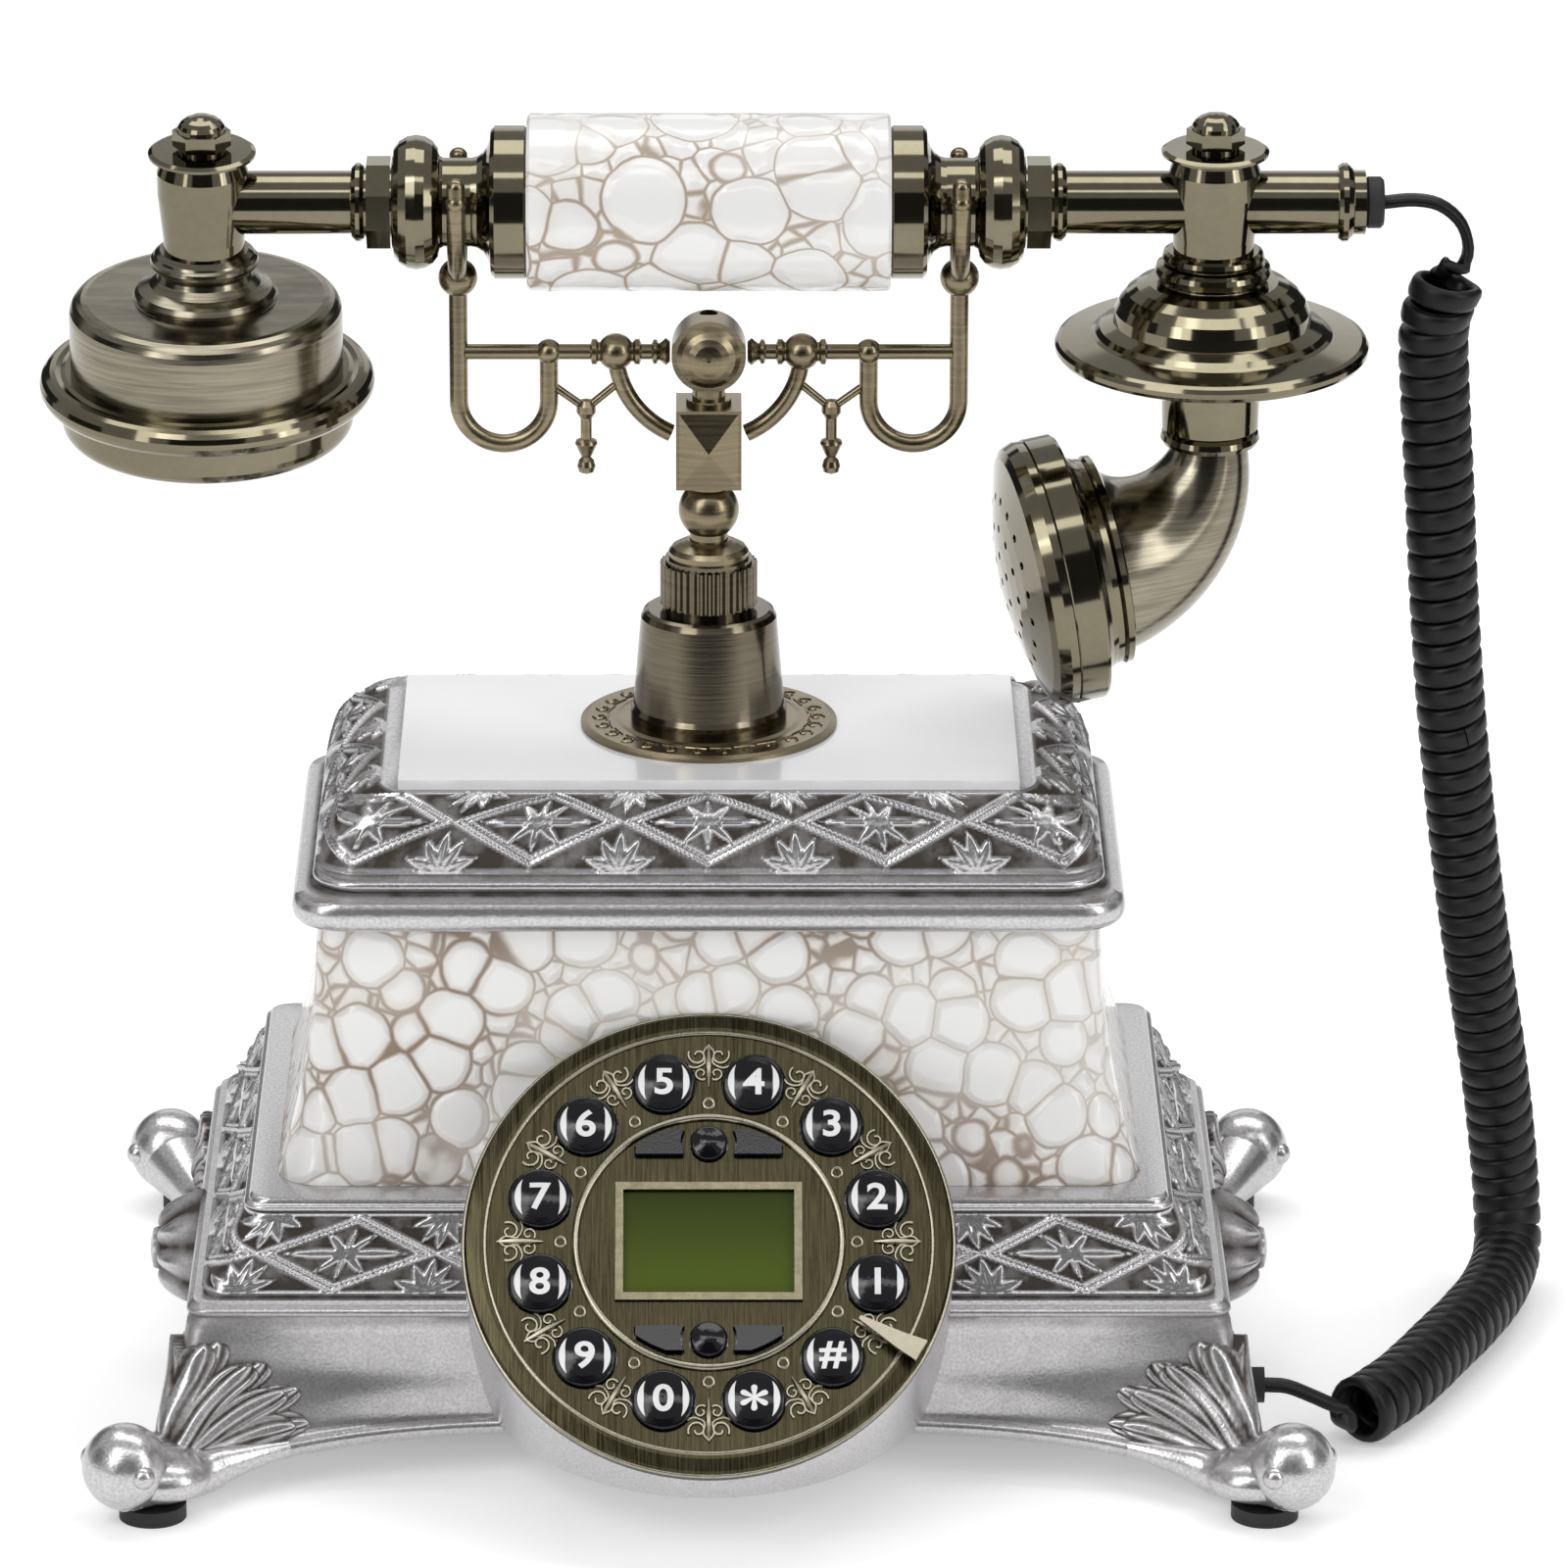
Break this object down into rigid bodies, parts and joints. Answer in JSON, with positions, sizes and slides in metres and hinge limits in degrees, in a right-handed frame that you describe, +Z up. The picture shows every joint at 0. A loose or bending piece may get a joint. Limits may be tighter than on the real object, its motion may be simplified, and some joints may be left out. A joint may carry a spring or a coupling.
{
  "type": "rotary telephone",
  "caption": "Parlour telephone with a cast ornamental base, a key dial with a small display, a sprung cradle stand and a horn-mouthed handset on a curly cord.",
  "frame": {"origin": "on the table under the middle of the telephone's box, measured without its cord", "axes": "+X to the user's right, +Y away from the user, +Z up"},
  "size_m": [0.2998, 0.2001, 0.2565],
  "materials": {
    "silver_resin": "silver paint with a brown wash on cast resin, satin",
    "white_resin": "white lacquer with fine brown cells on cast resin, gloss",
    "dial_bronze": "antique bronze plate, brushed",
    "stand_brass": "antique brass plate, satin",
    "handset_bronze": "antique bronze plate, polished",
    "plated_shell": "antique bronze plate on moulded plastic, polished and partly brushed",
    "black_rubber": "matt",
    "cord_black": "smooth vinyl, satin",
    "black_plastic": "fine texture",
    "key_black": "gloss with printed figures",
    "steel": "zinc plated",
    "board_green": "solder mask",
    "lcd_green": "matt window over a green reflector"
  },
  "bodies": {
    "base": {"base_casting": "silver_resin", "bottom_cover": "black_plastic", "cover_screws": "steel", "rubber_feet": "black_rubber", "body_shell": "white_resin", "lid_casting": "silver_resin", "top_panel": "white_resin", "dial_ring": "dial_bronze", "dial_plate": "dial_bronze", "lcd_frame": "dial_bronze", "lcd_screen": "lcd_green", "finger_stop": "dial_bronze", "key_board": "board_green", "line_socket": "black_plastic", "cord_bush_base": "black_rubber", "stand_disc": "stand_brass", "stand_bell": "stand_brass", "stand_nut": "stand_brass", "stand_collar": "stand_brass", "hook_switch": "black_plastic", "hook_spring": "steel", "cord_lead_top": "cord_black", "cord_coil": "cord_black", "cord_lead_base": "cord_black"},
    "cradle": {"cradle_post": "stand_brass", "cradle_arm_left": "stand_brass", "cradle_arm_right": "stand_brass", "fork_left": "stand_brass", "fork_right": "stand_brass"},
    "handset": {"grip_sleeve": "white_resin", "neck_left": "handset_bronze", "neck_right": "handset_bronze", "head_left": "handset_bronze", "head_right": "handset_bronze", "head_nuts": "handset_bronze", "ear_drum": "plated_shell", "ear_cap": "plated_shell", "mouth_dome": "plated_shell", "mouth_horn": "plated_shell", "mouth_bell": "plated_shell", "mouth_grille": "plated_shell", "cord_bush_handset": "black_rubber"},
    "key_1": {"key_1": "key_black"},
    "key_2": {"key_2": "key_black"},
    "key_3": {"key_3": "key_black"},
    "key_4": {"key_4": "key_black"},
    "key_5": {"key_5": "key_black"},
    "key_6": {"key_6": "key_black"},
    "key_7": {"key_7": "key_black"},
    "key_8": {"key_8": "key_black"},
    "key_9": {"key_9": "key_black"},
    "key_0": {"key_0": "key_black"},
    "key_star": {"key_star": "key_black"},
    "key_hash": {"key_hash": "key_black"},
    "fn_top": {"fn_top": "key_black"},
    "fn_top_left": {"fn_top_left": "key_black"},
    "fn_top_right": {"fn_top_right": "key_black"},
    "fn_low": {"fn_low": "key_black"},
    "fn_low_left": {"fn_low_left": "key_black"},
    "fn_low_right": {"fn_low_right": "key_black"}
  },
  "joints": [
    {"name": "cradle_lift", "type": "slide", "parent": "base", "child": "cradle", "axis": [0, 0, 1], "range_m": [0, 0.004], "stiffness_N_per_m": 200, "springref_m": 0.015, "deforming": ["hook_spring"]},
    {"name": "handset_lift", "type": "slide", "parent": "cradle", "child": "handset", "axis": [0, 0, 1], "range_m": [0, 0.06]},
    {"name": "press_1", "type": "slide", "parent": "base", "child": "key_1", "axis": [0, 0.7431, -0.6691], "range_m": [0, 0.0015], "stiffness_N_per_m": 400, "springref_m": -0.0005},
    {"name": "press_2", "type": "slide", "parent": "base", "child": "key_2", "axis": [0, 0.7431, -0.6691], "range_m": [0, 0.0015], "stiffness_N_per_m": 400, "springref_m": -0.0005},
    {"name": "press_3", "type": "slide", "parent": "base", "child": "key_3", "axis": [0, 0.7431, -0.6691], "range_m": [0, 0.0015], "stiffness_N_per_m": 400, "springref_m": -0.0005},
    {"name": "press_4", "type": "slide", "parent": "base", "child": "key_4", "axis": [0, 0.7431, -0.6691], "range_m": [0, 0.0015], "stiffness_N_per_m": 400, "springref_m": -0.0005},
    {"name": "press_5", "type": "slide", "parent": "base", "child": "key_5", "axis": [0, 0.7431, -0.6691], "range_m": [0, 0.0015], "stiffness_N_per_m": 400, "springref_m": -0.0005},
    {"name": "press_6", "type": "slide", "parent": "base", "child": "key_6", "axis": [0, 0.7431, -0.6691], "range_m": [0, 0.0015], "stiffness_N_per_m": 400, "springref_m": -0.0005},
    {"name": "press_7", "type": "slide", "parent": "base", "child": "key_7", "axis": [0, 0.7431, -0.6691], "range_m": [0, 0.0015], "stiffness_N_per_m": 400, "springref_m": -0.0005},
    {"name": "press_8", "type": "slide", "parent": "base", "child": "key_8", "axis": [0, 0.7431, -0.6691], "range_m": [0, 0.0015], "stiffness_N_per_m": 400, "springref_m": -0.0005},
    {"name": "press_9", "type": "slide", "parent": "base", "child": "key_9", "axis": [0, 0.7431, -0.6691], "range_m": [0, 0.0015], "stiffness_N_per_m": 400, "springref_m": -0.0005},
    {"name": "press_0", "type": "slide", "parent": "base", "child": "key_0", "axis": [0, 0.7431, -0.6691], "range_m": [0, 0.0015], "stiffness_N_per_m": 400, "springref_m": -0.0005},
    {"name": "press_star", "type": "slide", "parent": "base", "child": "key_star", "axis": [0, 0.7431, -0.6691], "range_m": [0, 0.0015], "stiffness_N_per_m": 400, "springref_m": -0.0005},
    {"name": "press_hash", "type": "slide", "parent": "base", "child": "key_hash", "axis": [0, 0.7431, -0.6691], "range_m": [0, 0.0015], "stiffness_N_per_m": 400, "springref_m": -0.0005},
    {"name": "press_fn_top", "type": "slide", "parent": "base", "child": "fn_top", "axis": [0, 0.7431, -0.6691], "range_m": [0, 0.0015], "stiffness_N_per_m": 400, "springref_m": -0.0005},
    {"name": "press_fn_top_left", "type": "slide", "parent": "base", "child": "fn_top_left", "axis": [0, 0.7431, -0.6691], "range_m": [0, 0.0015], "stiffness_N_per_m": 400, "springref_m": -0.0005},
    {"name": "press_fn_top_right", "type": "slide", "parent": "base", "child": "fn_top_right", "axis": [0, 0.7431, -0.6691], "range_m": [0, 0.0015], "stiffness_N_per_m": 400, "springref_m": -0.0005},
    {"name": "press_fn_low", "type": "slide", "parent": "base", "child": "fn_low", "axis": [0, 0.7431, -0.6691], "range_m": [0, 0.0015], "stiffness_N_per_m": 400, "springref_m": -0.0005},
    {"name": "press_fn_low_left", "type": "slide", "parent": "base", "child": "fn_low_left", "axis": [0, 0.7431, -0.6691], "range_m": [0, 0.0015], "stiffness_N_per_m": 400, "springref_m": -0.0005},
    {"name": "press_fn_low_right", "type": "slide", "parent": "base", "child": "fn_low_right", "axis": [0, 0.7431, -0.6691], "range_m": [0, 0.0015], "stiffness_N_per_m": 400, "springref_m": -0.0005}
  ]
}
